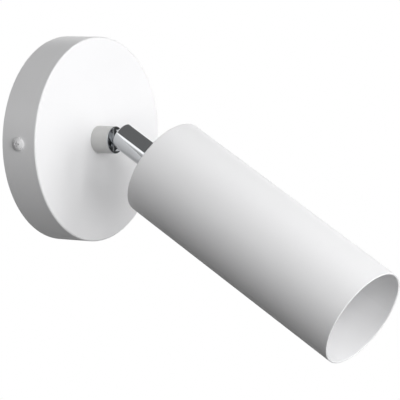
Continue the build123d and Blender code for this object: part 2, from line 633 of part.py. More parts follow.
def shade_tube():
    """A straight round tube, open in front and rounded at the back."""
    shade = rod(SHADE_RADIUS, ARM_LENGTH, SHADE_MOUTH)
    shade = fillet(shade.edges().group_by(Axis.Z)[0], SHADE_BACK_RADIUS)
    shade -= rod(SHADE_INNER_RADIUS, ARM_LENGTH, SHADE_MOUTH)
    return fillet(shade.edges().filter_by(GeomType.CIRCLE).group_by(Axis.Z)[-1], SHADE_LIP_RADIUS)


def shade_back():
    """The disc that is welded into the tube's back end, with a hole for the nipple."""
    disc = rod(SHADE_INNER_RADIUS, ARM_LENGTH, SHADE_FLOOR)
    return disc - rod(NIPPLE_DIAMETER / 2 + SCREW_HOLE_CLEARANCE, ARM_LENGTH, SHADE_FLOOR)


def holder_bracket():
    """A strip folded into a U, its ends turned in to carry the lampholder."""
    half_span = HOLDER_BRACKET_SPAN / 2
    tab_end = half_span - HOLDER_TAB_LENGTH
    bend_points = [(-tab_end, HOLDER_BASE), (-half_span, HOLDER_BASE), (-half_span, SHADE_FLOOR),
                   (half_span, SHADE_FLOOR), (half_span, HOLDER_BASE), (tab_end, HOLDER_BASE)]
    strip = folded_strip(bend_points, HOLDER_BRACKET_THICKNESS, HOLDER_BRACKET_BEND_RADIUS,
                         HOLDER_BRACKET_WIDTH)
    strip += rod(HOLDER_BRACKET_FOOT_DIAMETER / 2, SHADE_FLOOR, HEAD_WASHER_BACK)
    strip -= rod(NIPPLE_DIAMETER / 2 + SCREW_HOLE_CLEARANCE, SHADE_FLOOR, HEAD_WASHER_BACK)
    for side in (-1, 1):
        hole_radius = HOLDER_SCREW_DIAMETER / 2 + THREAD_CLEARANCE
        strip -= rod(hole_radius, HOLDER_BASE - HOLDER_BRACKET_THICKNESS, HOLDER_BASE,
                     x=side * HOLDER_SCREW_SPACING / 2)
    return strip


def pin_opening():
    """One keyhole of the lampholder: a round hole for the pin's head and a slot to twist it along."""
    depth = PIN_HOLE_DEPTH + LOOSE_CLEARANCE
    hole = rod(PIN_HOLE_DIAMETER / 2, HOLDER_FACE - depth, HOLDER_FACE, x=PIN_SPACING / 2)
    twist = SlotArc(CenterArc((0, 0), PIN_SPACING / 2, 0, PIN_TWIST_ANGLE), PIN_TWIST_SLOT_WIDTH)
    return hole + extrude(Pos(0, 0, HOLDER_FACE - depth) * twist, depth)


def lampholder():
    """A ceramic block with two keyholes in front, a pocket behind each and a screw hole at each end."""
    body = slot_bar(HOLDER_LENGTH, HOLDER_WIDTH, HOLDER_BASE, HOLDER_FACE)
    body = fillet(body.edges().group_by(Axis.Z)[-1], HOLDER_EDGE_RADIUS)
    hole_x = HOLDER_SCREW_SPACING / 2
    hole_radius = HOLDER_SCREW_DIAMETER / 2 + SCREW_HOLE_CLEARANCE
    head_radius = HOLDER_SCREW_HEAD_DIAMETER / 2 + SCREW_HOLE_CLEARANCE
    for angle in (0, 180):
        place = Rot(0, 0, angle)
        body -= place * pin_opening()
        body -= place * block(CONTACT_POCKET_LENGTH, CONTACT_POCKET_WIDTH, HOLDER_BASE,
                              HOLDER_BASE + CONTACT_POCKET_DEPTH, x=PIN_SPACING / 2)
        body -= place * rod(hole_radius, HOLDER_BASE, HOLDER_FACE, x=hole_x)
        body -= place * rod(head_radius, HOLDER_BASE + HOLDER_SCREW_SEAT, HOLDER_FACE, x=hole_x)
    return body


def lampholder_contacts():
    """Two folded springs that grip the lamp's pins."""
    half = CONTACT_POCKET_LENGTH / 2 - SPRING_CLEARANCE
    base = HOLDER_BASE + CONTACT_BASE
    top = HOLDER_BASE + CONTACT_POCKET_DEPTH - LOOSE_CLEARANCE
    spring = folded_strip([(-half, top), (-half, base), (half, base), (half, top)],
                          CONTACT_THICKNESS, CONTACT_BEND_RADIUS, CONTACT_WIDTH)
    return mirrored_pair(Pos(PIN_SPACING / 2, 0, 0) * spring)


def holder_screws():
    """Two screws through the lampholder into its bracket."""
    seat = HOLDER_BASE + HOLDER_SCREW_SEAT
    x = HOLDER_SCREW_SPACING / 2
    head = slotted_head(HOLDER_SCREW_HEAD_DIAMETER / 2, HOLDER_SCREW_HEAD_HEIGHT, seat, x)
    shank_end = HOLDER_BASE - 2 * HOLDER_BRACKET_THICKNESS
    return mirrored_pair(head + rod(HOLDER_SCREW_DIAMETER / 2, shank_end, seat, x))


# ---- the whole light ---------------------------------------------------------------------------

ON_THE_WALL = {
    "rose_cover": rose_cover(),
    "cover_screws": cover_screws(),
    "wall_bracket": wall_bracket(),
    "terminal_block": terminal_block(),
    "terminal_sleeves": terminal_sleeves(),
    "terminal_screws": terminal_screws(),
    "block_screw": block_screw(),
    "earth_screw": earth_screw(),
    "earth_tag": earth_tag(),
    "earth_lead": earth_lead(),
    "rose_leads": rose_leads(),
    "rose_nipple": hollow_nipple(ROSE_NIPPLE_BACK, ROSE_DEPTH + ROSE_NIPPLE_IN_COLLAR),
    "rose_nut": nipple_nut(ROSE_NUT_BACK + NUT_THICKNESS, -1),
    "rose_washer": lock_washer(ROSE_INNER_FRONT - LOCK_WASHER_THICKNESS),
    "rose_bush": nipple_bush(ROSE_NIPPLE_BACK, -1),
    "swivel_collar": swivel_collar(),
    "pan_grub_screw": pan_grub_screw(),
    "swivel_tongue": swivel_tongue(),
    "joint_leads": joint_leads(),
}

ON_THE_HEAD = {
    "swivel_fork": swivel_fork(),
    "tilt_screw": tilt_screw(),
    "friction_washers": friction_washers(),
    "head_nipple": hollow_nipple(ARM_LENGTH - HEAD_NIPPLE_IN_FORK, HEAD_NIPPLE_FRONT),
    "head_nut": nipple_nut(HEAD_NUT_BACK, 1),
    "head_washer": lock_washer(HEAD_WASHER_BACK),
    "head_bush": nipple_bush(HEAD_NIPPLE_FRONT, 1),
    "shade_tube": shade_tube(),
    "shade_back": shade_back(),
    "holder_bracket": holder_bracket(),
    "lampholder": lampholder(),
    "lampholder_contacts": lampholder_contacts(),
    "holder_screws": holder_screws(),
    "holder_leads": holder_leads(),
}

os.makedirs("parts", exist_ok=True)
for frame, pieces in ((WALL_FRAME, ON_THE_WALL), (HEAD_FRAME, ON_THE_HEAD)):
    for name, piece in pieces.items():
        placed = frame.location * piece
        placed.label = name
        export_step(placed, f"parts/{name}.step")
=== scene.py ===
"""Finishes, threads and a plain studio for the pivoting wall spotlight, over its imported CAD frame."""

import math

import bmesh
import bpy
from bpy.props import FloatProperty, FloatVectorProperty, IntProperty, PointerProperty
from mathutils import Matrix, Vector


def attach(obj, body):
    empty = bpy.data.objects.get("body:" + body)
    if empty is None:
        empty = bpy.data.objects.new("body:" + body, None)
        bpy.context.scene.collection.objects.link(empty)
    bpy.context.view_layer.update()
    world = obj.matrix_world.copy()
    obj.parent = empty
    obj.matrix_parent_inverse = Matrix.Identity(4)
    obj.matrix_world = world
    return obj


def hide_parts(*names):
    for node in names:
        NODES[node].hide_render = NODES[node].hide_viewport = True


bl_info = {
    "name": "Wall Spotlight",
    "version": (1, 0, 0),
    "blender": (4, 5, 0),
    "location": "3D View > Sidebar > Spotlight",
    "description": "Finishes, threads and a studio for a pivoting wall spotlight",
    "category": "Object",
}

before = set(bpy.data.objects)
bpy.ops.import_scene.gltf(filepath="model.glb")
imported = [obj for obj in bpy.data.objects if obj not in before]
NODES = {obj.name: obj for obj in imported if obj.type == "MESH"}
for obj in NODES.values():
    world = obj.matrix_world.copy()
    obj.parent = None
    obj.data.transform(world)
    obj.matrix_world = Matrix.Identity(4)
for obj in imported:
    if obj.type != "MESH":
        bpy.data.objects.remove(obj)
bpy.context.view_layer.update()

MM = 0.001

# The two directions that pieces are turned on: out of the wall, and along the spotlight.
WALL_AXIS = Vector((0, -1, 0))
TILT_AT_REST = math.radians(30)
HEAD_AXIS = Vector((0, -math.cos(TILT_AT_REST), -math.sin(TILT_AT_REST)))
PIVOT_FROM_WALL = 46.0

# The hollow M10 nipples, in millimetres; each starts so far out of the wall or in front of the pivot.
NIPPLE_RADIUS = 5.0
NIPPLE_BORE_RADIUS = 3.6
ROSE_NIPPLE_START, ROSE_NIPPLE_LENGTH = 17.5, 11.1
HEAD_NIPPLE_START, HEAD_NIPPLE_LENGTH = 19.5, 17.5

# The rose, the M4 cover screws in its rim and their pan heads, in millimetres.
ROSE_RADIUS = 60.0
SCREW_RADIUS = 2.0
SCREW_LENGTH = 8.0
SCREW_FROM_WALL = 12.0
HEAD_RADIUS = 3.8
HEAD_HEIGHT = 2.4
HEAD_SIDE = 0.9

# A driver's cross, in millimetres: half its span, half an arm's width, and the height over the head's top.
CROSS_MOUTH = (2.2, 0.42, 0.2)
CROSS_FLOOR = (1.3, 0.3, -1.4)

# A 60 degree metric thread, as shares of its pitch, and the rows of points in each pitch.
THREAD_DEPTH = 0.5413
HALF_CREST = 0.0625
FLANK = 0.3125
ROWS_PER_PITCH = 12

# Points of a mesh that are nearer than this, in metres, are one point.
MERGE = 1e-7
SHARP_EDGE = math.radians(32)


def linear(code):
    """An sRGB hex colour as the linear RGB that shaders and lamps take."""
    channels = (int(code[i:i + 2], 16) / 255 for i in (1, 3, 5))
    return tuple(c / 12.92 if c <= 0.04045 else ((c + 0.055) / 1.055) ** 2.4 for c in channels)


def colour(name, description, code):
    """A colour that a user can change; its default is written as sRGB hex."""
    return FloatVectorProperty(
        name=name, description=description, subtype="COLOR", size=3, min=0, max=1, default=linear(code))


def share(name, description, default):
    """A setting between 0 and 1."""
    return FloatProperty(name=name, description=description, subtype="FACTOR", default=default, min=0, max=1)


def length(name, description, default):
    """A length in metres; its default is written in millimetres."""
    return FloatProperty(
        name=name, description=description, subtype="DISTANCE", unit="LENGTH", default=default * MM, min=0)


# ---- settings ----------------------------------------------------------------------------------


class SpotlightFinish(bpy.types.PropertyGroup):
    """Colours and textures of what shows from outside."""

    coat: colour("Powder coat", "White of the rose, the shade and the cover screws", "#EEEEEF")
    # Painted shade: the collar is coated white like the rose, and this grey darkens it to paint in the shade
    # that falls on it.
    collar: colour("Collar coat", "Light grey of the swivel's collar", "#C4C4C3")
    coat_roughness: share("Coat roughness", "Satin of the powder coat", 0.40)
    coat_ripple: length("Coat ripple", "Distance between the waves of the coat's orange peel", 1.4)
    chrome: colour("Chrome", "What the polished chromium plate reflects", "#C6C8CA")
    chrome_roughness: share("Chrome roughness", "Haze of the polished plate", 0.06)
    zinc: colour("Zinc plate", "What the zinc-plated steel reflects", "#B9BDC2")
    brass: colour("Brass", "What the turned brass reflects", "#C9A45C")


class SpotlightHardware(bpy.types.PropertyGroup):
    """Sizes of the threads and small forms that the CAD leaves plain."""

    nipple_pitch: length("Nipple pitch", "Pitch of the hollow nipples' M10 fine thread", 1.0)
    screw_pitch: length("Screw pitch", "Pitch of the M4 cover screws", 0.7)
    thread_columns: IntProperty(
        name="Thread sides", description="Flats round each thread", default=64, min=24)
    head_edge: length("Head edge", "Rounding of the screw heads' edges", 0.25)


class SpotlightStudio(bpy.types.PropertyGroup):
    """Camera, lamps and floor."""

    azimuth: FloatProperty(
        name="Azimuth", description="Side that the camera looks from", subtype="ANGLE", unit="ROTATION",
        default=math.radians(-55.08))
    elevation: FloatProperty(
        name="Elevation", description="Height that the camera looks from", subtype="ANGLE", unit="ROTATION",
        default=math.radians(4.92))
    distance: length("Distance", "From the camera to the plane of the rose's middle", 1562.2)
    lens: FloatProperty(name="Lens", description="Focal length, in millimetres", default=237.65, min=1)
    floor_drop: length("Floor drop", "From the rose's middle down to the floor", 900)
    ambient: share("Ambient", "Light from all round on matt surfaces", 0.0)
    room: share("Dark room", "Brightness of the dark room in front that the chrome reflects", 0.08)


# ---- materials ---------------------------------------------------------------------------------

# Nearly all of a noise pattern lies between these values.
NOISE_SPAN = {"From_Min": 0.3, "From_Max": 0.7}


def per_mm(size):
    """The scale of a pattern whose features are size millimetres across."""
    return 1 / (size * MM)


def darker(tint, amount):
    """A colour with some of its light taken away."""
    return tuple(c * (1 - amount) for c in tint)


def add(tree, kind, settings=None, **inputs):
    """Adds a node with its own settings; an input is named, or i and its number, and takes a value or a link.

    A link is a socket, or a node whose first output is meant.
    """
    node = tree.nodes.new("ShaderNode" + kind)
    for name, value in (settings or {}).items():
        setattr(node, name, value)
    for name, value in inputs.items():
        numbered = name[0] == "i" and name[1:].isdigit()
        socket = node.inputs[int(name[1:]) if numbered else name.replace("_", " ")]
        if isinstance(value, bpy.types.Node):
            value = value.outputs[0]
        if isinstance(value, bpy.types.NodeSocket):
            tree.links.new(value, socket)
        elif socket.type == "RGBA":
            socket.default_value = (*value[:3], 1)
        else:
            socket.default_value = value
    return node


def start_material(name):
    """A material with an empty tree, and where the surface is, in the object's own metres."""
    material = bpy.data.materials.new(name)
    material.use_nodes = True
    tree = material.node_tree
    tree.nodes.clear()
    return material, tree, add(tree, "TexCoord").outputs["Object"]


def finish_material(tree, **inputs):
    """Ends a tree with its surface."""
    add(tree, "OutputMaterial", Surface=add(tree, "BsdfPrincipled", **inputs))


def powder_coat(finish, name, tint):
    """Polyester powder, sprayed on steel and baked: satin, with the shallow ripple called orange peel."""
    material, tree, place = start_material(name)
    peel = add(tree, "TexNoise", Vector=place, Scale=1 / finish.coat_ripple, Detail=1.0)
    grain = add(tree, "TexNoise", Vector=place, Scale=per_mm(0.25))
    cloud = add(tree, "TexNoise", Vector=place, Scale=per_mm(40))
    skin = add(tree, "Math", {"operation": "MULTIPLY_ADD"}, i0=grain, i1=0.15, i2=peel)
    finish_material(
        tree, IOR=1.5,
        Base_Color=add(tree, "MixRGB", Fac=cloud, Color1=tint, Color2=darker(tint, 0.03)),
        Roughness=add(tree, "MapRange", Value=cloud, **NOISE_SPAN,
                      To_Min=finish.coat_roughness - 0.03, To_Max=finish.coat_roughness + 0.04),
        Normal=add(tree, "Bump", Distance=0.010 * MM, Height=skin))
    return material


def screw_lacquer(finish):
    """Steel screws dipped in white lacquer: a thin skin, glossier than the powder, that pools a little."""
    material, tree, place = start_material("lacquer_dipped_white")
    pool = add(tree, "TexNoise", Vector=place, Scale=per_mm(1.2), Detail=3.0)
    finish_material(
        tree, IOR=1.5,
        Base_Color=add(tree, "MixRGB", Fac=pool, Color1=finish.coat, Color2=darker(finish.coat, 0.04)),
        Roughness=add(tree, "MapRange", Value=pool, **NOISE_SPAN, To_Min=0.24, To_Max=0.36),
        Normal=add(tree, "Bump", Distance=0.02 * MM, Height=pool))
    return material


def polished_chrome(finish, name, axis):
    """Buffed brass, chromium plated: a mirror with a faint haze, and the buff's fine lines round its axis."""
    material, tree, place = start_material(name)
    along = add(tree, "VectorMath", {"operation": "DOT_PRODUCT"}, i0=place, i1=axis).outputs["Value"]
    lines = add(tree, "TexNoise", {"noise_dimensions": "1D"}, W=along, Scale=per_mm(0.35), Detail=3.0)
    waves = add(tree, "TexNoise", Vector=place, Scale=per_mm(9))
    haze = add(tree, "TexNoise", Vector=place, Scale=per_mm(5))
    finish_material(
        tree, Base_Color=finish.chrome, Metallic=1.0,
        Roughness=add(tree, "MapRange", Value=haze, **NOISE_SPAN,
                      To_Min=finish.chrome_roughness * 0.7, To_Max=finish.chrome_roughness * 1.4),
        Normal=add(tree, "Bump", Distance=0.004 * MM, Height=add(
            tree, "Math", {"operation": "MULTIPLY_ADD"}, i0=lines, i1=0.03, i2=waves)))
    return material


def zinc_plate(finish):
    """Pressed or turned steel, bright zinc plated: cool grey, cloudy, with faint blue and straw patches."""
    material, tree, place = start_material("zinc_plate_bright")
    patch = add(tree, "TexNoise", Vector=place, Scale=per_mm(18))
    cloud = add(tree, "TexNoise", Vector=place, Scale=per_mm(7), Detail=4.0)
    grit = add(tree, "TexNoise", Vector=place, Scale=per_mm(0.5))
    blue = add(tree, "MapRange", Value=cloud, **NOISE_SPAN, To_Min=0.0, To_Max=0.6)
    straw = add(tree, "MixRGB", Fac=patch, Color1=finish.zinc, Color2=linear("#BDB9AC"))
    finish_material(
        tree, Metallic=1.0,
        Base_Color=add(tree, "MixRGB", Fac=blue, Color1=straw, Color2=linear("#9FA9B5")),
        Roughness=add(tree, "MapRange", Value=cloud, **NOISE_SPAN, To_Min=0.26, To_Max=0.42),
        Normal=add(tree, "Bump", Distance=0.006 * MM, Height=grit))
    return material


def turned_brass(finish):
    """Brass bar, turned and left bare: warm, with tool lines and a light tarnish."""
    material, tree, place = start_material("brass_turned")
    tarnish = add(tree, "TexNoise", Vector=place, Scale=per_mm(3), Detail=4.0)
    height = add(tree, "SeparateXYZ", Vector=place).outputs["Z"]
    lines = add(tree, "TexNoise", {"noise_dimensions": "1D"}, W=height, Scale=per_mm(0.2))
    dull = add(tree, "MapRange", Value=tarnish, **NOISE_SPAN, To_Min=0.0, To_Max=0.7)
    finish_material(
        tree, Metallic=1.0,
        Base_Color=add(tree, "MixRGB", Fac=dull, Color1=finish.brass, Color2=linear("#9C7A3C")),
        Roughness=add(tree, "MapRange", Value=tarnish, **NOISE_SPAN, To_Min=0.18, To_Max=0.34),
        Normal=add(tree, "Bump", Distance=0.006 * MM, Height=lines))
    return material


def tinned_copper():
    """Stamped copper, tin plated: soft grey white with a faint warm cast where it is worn."""
    material, tree, place = start_material("copper_tinned")
    wear = add(tree, "TexNoise", Vector=place, Scale=per_mm(2), Detail=4.0)
    finish_material(
        tree, Metallic=1.0,
        Base_Color=add(tree, "MixRGB", Fac=wear, Color1=linear("#C3C0B8"), Color2=linear("#B9A890")),
        Roughness=add(tree, "MapRange", Value=wear, **NOISE_SPAN, To_Min=0.28, To_Max=0.4),
        Normal=add(tree, "Bump", Distance=0.01 * MM, Height=wear))
    return material


def spring_bronze():
    """Rolled phosphor bronze strip: reddish, smooth, with the mill's straight lines."""
    material, tree, place = start_material("phosphor_bronze_rolled")
    across = add(tree, "SeparateXYZ", Vector=place).outputs["X"]
    lines = add(tree, "TexNoise", {"noise_dimensions": "1D"}, W=across, Scale=per_mm(0.15))
    finish_material(
        tree, Metallic=1.0,
        Base_Color=add(tree, "MixRGB", Fac=lines, Color1=linear("#C08F62"), Color2=linear("#A87A50")),
        Roughness=add(tree, "MapRange", Value=lines, **NOISE_SPAN, To_Min=0.2, To_Max=0.32),
        Normal=add(tree, "Bump", Distance=0.003 * MM, Height=lines))
    return material


def natural_nylon():
    """Nylon 66, moulded in a spark-eroded tool: milky, matt, lets a little light in."""
    material, tree, place = start_material("nylon_moulded_natural")
    texture = add(tree, "TexNoise", Vector=place, Scale=per_mm(0.35), Detail=3.0)
    cloud = add(tree, "TexNoise", Vector=place, Scale=per_mm(6))
    finish_material(
        tree, IOR=1.53, Subsurface_Weight=0.15, Subsurface_Scale=1 * MM,
        Base_Color=add(tree, "MixRGB", Fac=cloud, Color1=linear("#E9E5D8"), Color2=linear("#E2DCCB")),
        Roughness=add(tree, "MapRange", Value=texture, **NOISE_SPAN, To_Min=0.42, To_Max=0.55),
        Normal=add(tree, "Bump", Distance=0.012 * MM, Height=texture))
    return material


def silicone_sleeve():
    """Extruded silicone round a stranded lead: white, rubbery, with a faint bloom."""
    material, tree, place = start_material("silicone_extruded_white")
    bloom = add(tree, "TexNoise", Vector=place, Scale=per_mm(1.5), Detail=3.0)
    finish_material(
        tree, IOR=1.41, Sheen_Weight=0.05,
        Base_Color=add(tree, "MixRGB", Fac=bloom, Color1=linear("#E4E3DE"), Color2=linear("#D6D4CC")),
        Roughness=add(tree, "MapRange", Value=bloom, **NOISE_SPAN, To_Min=0.45, To_Max=0.6),
        Normal=add(tree, "Bump", Distance=0.01 * MM, Height=bloom))
    return material


def earth_sleeve():
    """Extruded PVC, one half of its round green and the other yellow, slightly glossy."""
    material, tree, place = start_material("pvc_extruded_green_yellow")
    # The stripe runs along the lead because this direction leans out of every stretch of it.
    leaning = (0.5, 0.7, 0.5)
    outward = add(tree, "TexCoord").outputs["Normal"]
    side = add(tree, "VectorMath", {"operation": "DOT_PRODUCT"}, i0=outward, i1=leaning).outputs["Value"]
    half = add(tree, "Math", {"operation": "GREATER_THAN"}, i0=side, i1=0.0)
    grain = add(tree, "TexNoise", Vector=place, Scale=per_mm(0.6))
    finish_material(
        tree, IOR=1.53,
        Base_Color=add(tree, "MixRGB", Fac=half, Color1=linear("#E8CF2F"), Color2=linear("#2F8A3C")),
        Roughness=add(tree, "MapRange", Value=grain, **NOISE_SPAN, To_Min=0.3, To_Max=0.42),
        Normal=add(tree, "Bump", Distance=0.006 * MM, Height=grain))
    return material


def steatite():
    """Steatite, pressed and fired without a glaze: chalky ivory with fine grey specks."""
    material, tree, place = start_material("steatite_fired")
    grain = add(tree, "TexNoise", Vector=place, Scale=per_mm(0.3), Detail=4.0)
    speck = add(tree, "TexNoise", Vector=place, Scale=per_mm(0.5))
    cloud = add(tree, "TexNoise", Vector=place, Scale=per_mm(8))
    tint = add(tree, "MixRGB", Fac=cloud, Color1=linear("#E8E3D7"), Color2=linear("#DED7C8"))
    spots = add(tree, "MapRange", Value=speck, From_Min=0.66, From_Max=0.74)
    finish_material(
        tree, IOR=1.58,
        Base_Color=add(tree, "MixRGB", Fac=spots, Color1=tint, Color2=linear("#B9B2A4")),
        Roughness=add(tree, "MapRange", Value=grain, **NOISE_SPAN, To_Min=0.5, To_Max=0.68),
        Normal=add(tree, "Bump", Distance=0.02 * MM, Height=grain))
    return material


def dress(names, material):
    """Puts one material on every slot of the named CAD nodes."""
    for name in names:
        for slot in NODES[name].material_slots:
            slot.material = material


# ---- meshes ------------------------------------------------------------------------------------


def turned(axis, origin):
    """Places a piece that was drawn along +Z, its local x along the wall."""
    side = Vector((1, 0, 0))
    return Matrix.Translation(origin) @ Matrix((side, axis.cross(side), axis)).transposed().to_4x4()


def head_place(distance):
    """A place on the spotlight's axis, distance millimetres in front of the pivot."""
    return turned(HEAD_AXIS, (WALL_AXIS * PIVOT_FROM_WALL + HEAD_AXIS * distance) * MM)


def wall_place(distance):
    """A place on the rose's axis, distance millimetres out of the wall."""
    return turned(WALL_AXIS, WALL_AXIS * distance * MM)


def new_object(name, mesh_data, place, material, body, replaced):
    """Makes an object of a bmesh, hangs it on the empty of the body that carries it, and hides the CAD nodes
    it replaces.
    """
    mesh_data.transform(place)
    mesh = bpy.data.meshes.new(name)
    mesh_data.to_mesh(mesh)
    mesh_data.free()
    mesh.materials.append(material)
    piece = bpy.data.objects.new(name, mesh)
    bpy.context.scene.collection.objects.link(piece)
    mesh.shade_smooth()
    mesh.set_sharp_from_angle(angle=SHARP_EDGE)
    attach(piece, body)
    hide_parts(*replaced)


def add_lathe(mesh_data, profile, columns):
    """Adds a closed ring of (radius, height) points turned round z; a radius of 0 closes to a point."""
    rings = []
    for radius, height in profile:
        if radius == 0:
            rings.append([mesh_data.verts.new((0, 0, height))] * columns)
            continue
        turns = [2 * math.pi * i / columns for i in range(columns)]
        ring = [(radius * math.cos(turn), radius * math.sin(turn), height) for turn in turns]
        rings.append([mesh_data.verts.new(point) for point in ring])
    for low, high in zip(rings, rings[1:]):
        for i in range(columns):
            corners = (low[i], low[i - 1], high[i - 1], high[i])
            unique = [v for k, v in enumerate(corners) if v not in corners[:k]]
            if len(unique) > 2:
                mesh_data.faces.new(unique)


def thread_radius(phase, outer, pitch):
    """Radius of a metric thread: a crest of 1/8 pitch, a root of 1/4 pitch, and flanks between."""
    from_crest = abs(phase - 0.5)
    return outer - THREAD_DEPTH * pitch * min(max((from_crest - HALF_CREST) / FLANK, 0), 1)


def add_bore(mesh_data, rims, bore):
    """Joins a thread's two rims, whose points go round z, by its flat ends and a bore between them."""
    rings = [rims[0]]
    for rim in rims:
        ratios = [bore / v.co.xy.length for v in rim]
        rings.append([mesh_data.verts.new((v.co.x * k, v.co.y * k, v.co.z)) for v, k in zip(rim, ratios)])
    rings.append(rims[1])
    for low, high in zip(rings, rings[1:]):
        for i in range(len(low)):
            mesh_data.faces.new((low[i], low[i - 1], high[i - 1], high[i]))


def add_thread(mesh_data, outer, pitch, start, end, bore, columns):
    """Adds a thread along z with chamfered ends, over a bore or, where bore is 0, solid."""
    steps = ROWS_PER_PITCH
    root = outer - THREAD_DEPTH * pitch
    rows = (math.ceil((end - start) / pitch) + 2) * steps
    grid = []
    for i in range(columns):
        turn = i / columns
        column = []
        for j in range(-steps, rows):
            height = start + pitch * (j / steps + turn)
            held = min(max(height, start), end)
            radius = min(thread_radius((j / steps) % 1, outer, pitch), root + min(held - start, end - held))
            angle = 2 * math.pi * turn
            column.append(mesh_data.verts.new((radius * math.cos(angle), radius * math.sin(angle), held)))
        grid.append(column)
    for i in range(columns):
        shift = steps if i + 1 == columns else 0
        ahead = grid[(i + 1) % columns]
        for j in range(len(grid[i]) - 1 - shift):
            mesh_data.faces.new((grid[i][j], ahead[j + shift], ahead[j + 1 + shift], grid[i][j + 1]))
    # The rows past either end all lie on its rim, and merge into it.
    bmesh.ops.remove_doubles(mesh_data, verts=mesh_data.verts[:], dist=MERGE)
    loose = [v for v in mesh_data.verts if not v.link_faces]
    bmesh.ops.delete(mesh_data, geom=loose, context="VERTS")
    rims = []
    for level in (start, end):
        rim = [v for v in mesh_data.verts if v.is_boundary and abs(v.co.z - level) < MERGE]
        rims.append(sorted(rim, key=lambda v: math.atan2(v.co.y, v.co.x)))
    if bore:
        add_bore(mesh_data, rims, bore)
    else:
        mesh_data.faces.new(reversed(rims[0]))
        mesh_data.faces.new(rims[1])


def dome_profile(edge, dome_steps=10, edge_steps=5):
    """The outline of a pan head from its middle to its seat: a dome, a rounded edge and a short side."""
    rise = HEAD_HEIGHT - HEAD_SIDE
    dome = (HEAD_RADIUS**2 + rise**2) / (2 * rise)
    reach = HEAD_RADIUS - edge
    outline = []
    for k in range(dome_steps + 1):
        r = reach * k / dome_steps
        outline.append((r, HEAD_HEIGHT - dome + math.sqrt(dome**2 - r**2)))
    top = outline[-1][1]
    for k in range(1, edge_steps + 1):
        angle = math.pi / 2 * k / edge_steps
        outline.append((reach + edge * math.sin(angle), top - edge * (1 - math.cos(angle))))
    return outline + [(HEAD_RADIUS, 0), (0, 0)]


def cross_cutter():
    """A tapered cross, as deep as the driver goes, that stands in a pan head's dome."""
    mesh_data = bmesh.new()
    rings = []
    for half_span, half_width, rise in (CROSS_MOUTH, CROSS_FLOOR):
        outline = [(half_span, -half_width), (half_span, half_width), (half_width, half_width)]
        corners = []
        for quarter in range(4):
            turn = Matrix.Rotation(math.pi / 2 * quarter, 3, "Z")
            corners += [turn @ Vector((x, y, HEAD_HEIGHT + rise)) * MM for x, y in outline]
        rings.append([mesh_data.verts.new(corner) for corner in corners])
    for i in range(len(rings[0])):
        mesh_data.faces.new((rings[0][i - 1], rings[0][i], rings[1][i], rings[1][i - 1]))
    mesh_data.faces.new(rings[0])
    mesh_data.faces.new(reversed(rings[1]))
    bmesh.ops.recalc_face_normals(mesh_data, faces=mesh_data.faces)
    return mesh_data


def recessed_head(hardware):
    """A pan head, standing on z = 0, with a cross recess in its dome."""
    head = bmesh.new()
    profile = dome_profile(hardware.head_edge / MM)
    add_lathe(head, [(r * MM, z * MM) for r, z in profile], hardware.thread_columns)
    bmesh.ops.recalc_face_normals(head, faces=head.faces)
    pieces = []
    for name, mesh_data in (("head", head), ("cross", cross_cutter())):
        mesh = bpy.data.meshes.new(name)
        mesh_data.to_mesh(mesh)
        mesh_data.free()
        pieces.append(bpy.data.objects.new(name, mesh))
        bpy.context.scene.collection.objects.link(pieces[-1])
    recess = pieces[0].modifiers.new("recess", "BOOLEAN")
    recess.object, recess.operation, recess.solver = pieces[1], "DIFFERENCE", "EXACT"
    result = bmesh.new()
    result.from_object(pieces[0], bpy.context.evaluated_depsgraph_get())
    for piece in pieces:
        bpy.data.objects.remove(piece)
    return result


# ---- operators ---------------------------------------------------------------------------------


class CoatedParts(bpy.types.Operator):
    """Powder coats the rose and the shade white, and the white collar in a grey that paints shade onto it"""

    bl_idname = "spotlight.coated_parts"
    bl_label = "Powder coat"

    def execute(self, context):
        finish = context.scene.spotlight_finish
        white = powder_coat(finish, "powder_coat_satin_white", finish.coat)
        dress(("rose_cover", "shade_tube", "shade_back"), white)
        # The collar is white too; its darker copy of the coat is painted shade.
        dress(("swivel_collar",), powder_coat(finish, "powder_coat_white_painted_shade", finish.collar))
        return {"FINISHED"}


class ChromedJoint(bpy.types.Operator):
    """Chromes the tongue, the arm and the tilt screw"""

    bl_idname = "spotlight.chromed_joint"
    bl_label = "Chromed joint"

    def execute(self, context):
        finish = context.scene.spotlight_finish
        dress(("swivel_tongue",), polished_chrome(finish, "chrome_polished_swivel", WALL_AXIS))
        dress(("swivel_fork", "tilt_screw"), polished_chrome(finish, "chrome_polished_arm", HEAD_AXIS))
        return {"FINISHED"}


class PlatedHardware(bpy.types.Operator):
    """Plates the brackets, nuts, washers and screws that stay inside"""

    bl_idname = "spotlight.plated_hardware"
    bl_label = "Plated hardware"

    def execute(self, context):
        finish = context.scene.spotlight_finish
        dress(("wall_bracket", "terminal_screws", "block_screw", "rose_nut", "rose_washer", "pan_grub_screw",
               "head_nut", "head_washer", "holder_bracket", "holder_screws"), zinc_plate(finish))
        dress(("terminal_sleeves", "earth_screw"), turned_brass(finish))
        dress(("earth_tag",), tinned_copper())
        return {"FINISHED"}


class MouldedParts(bpy.types.Operator):
    """Gives the nylon, ceramic, bronze and silicone pieces their materials"""

    bl_idname = "spotlight.moulded_parts"
    bl_label = "Moulded and fired parts"

    def execute(self, context):
        dress(("terminal_block", "rose_bush", "head_bush", "friction_washers"), natural_nylon())
        dress(("lampholder",), steatite())
        dress(("lampholder_contacts",), spring_bronze())
        dress(("rose_leads", "joint_leads", "holder_leads"), silicone_sleeve())
        dress(("earth_lead",), earth_sleeve())
        return {"FINISHED"}


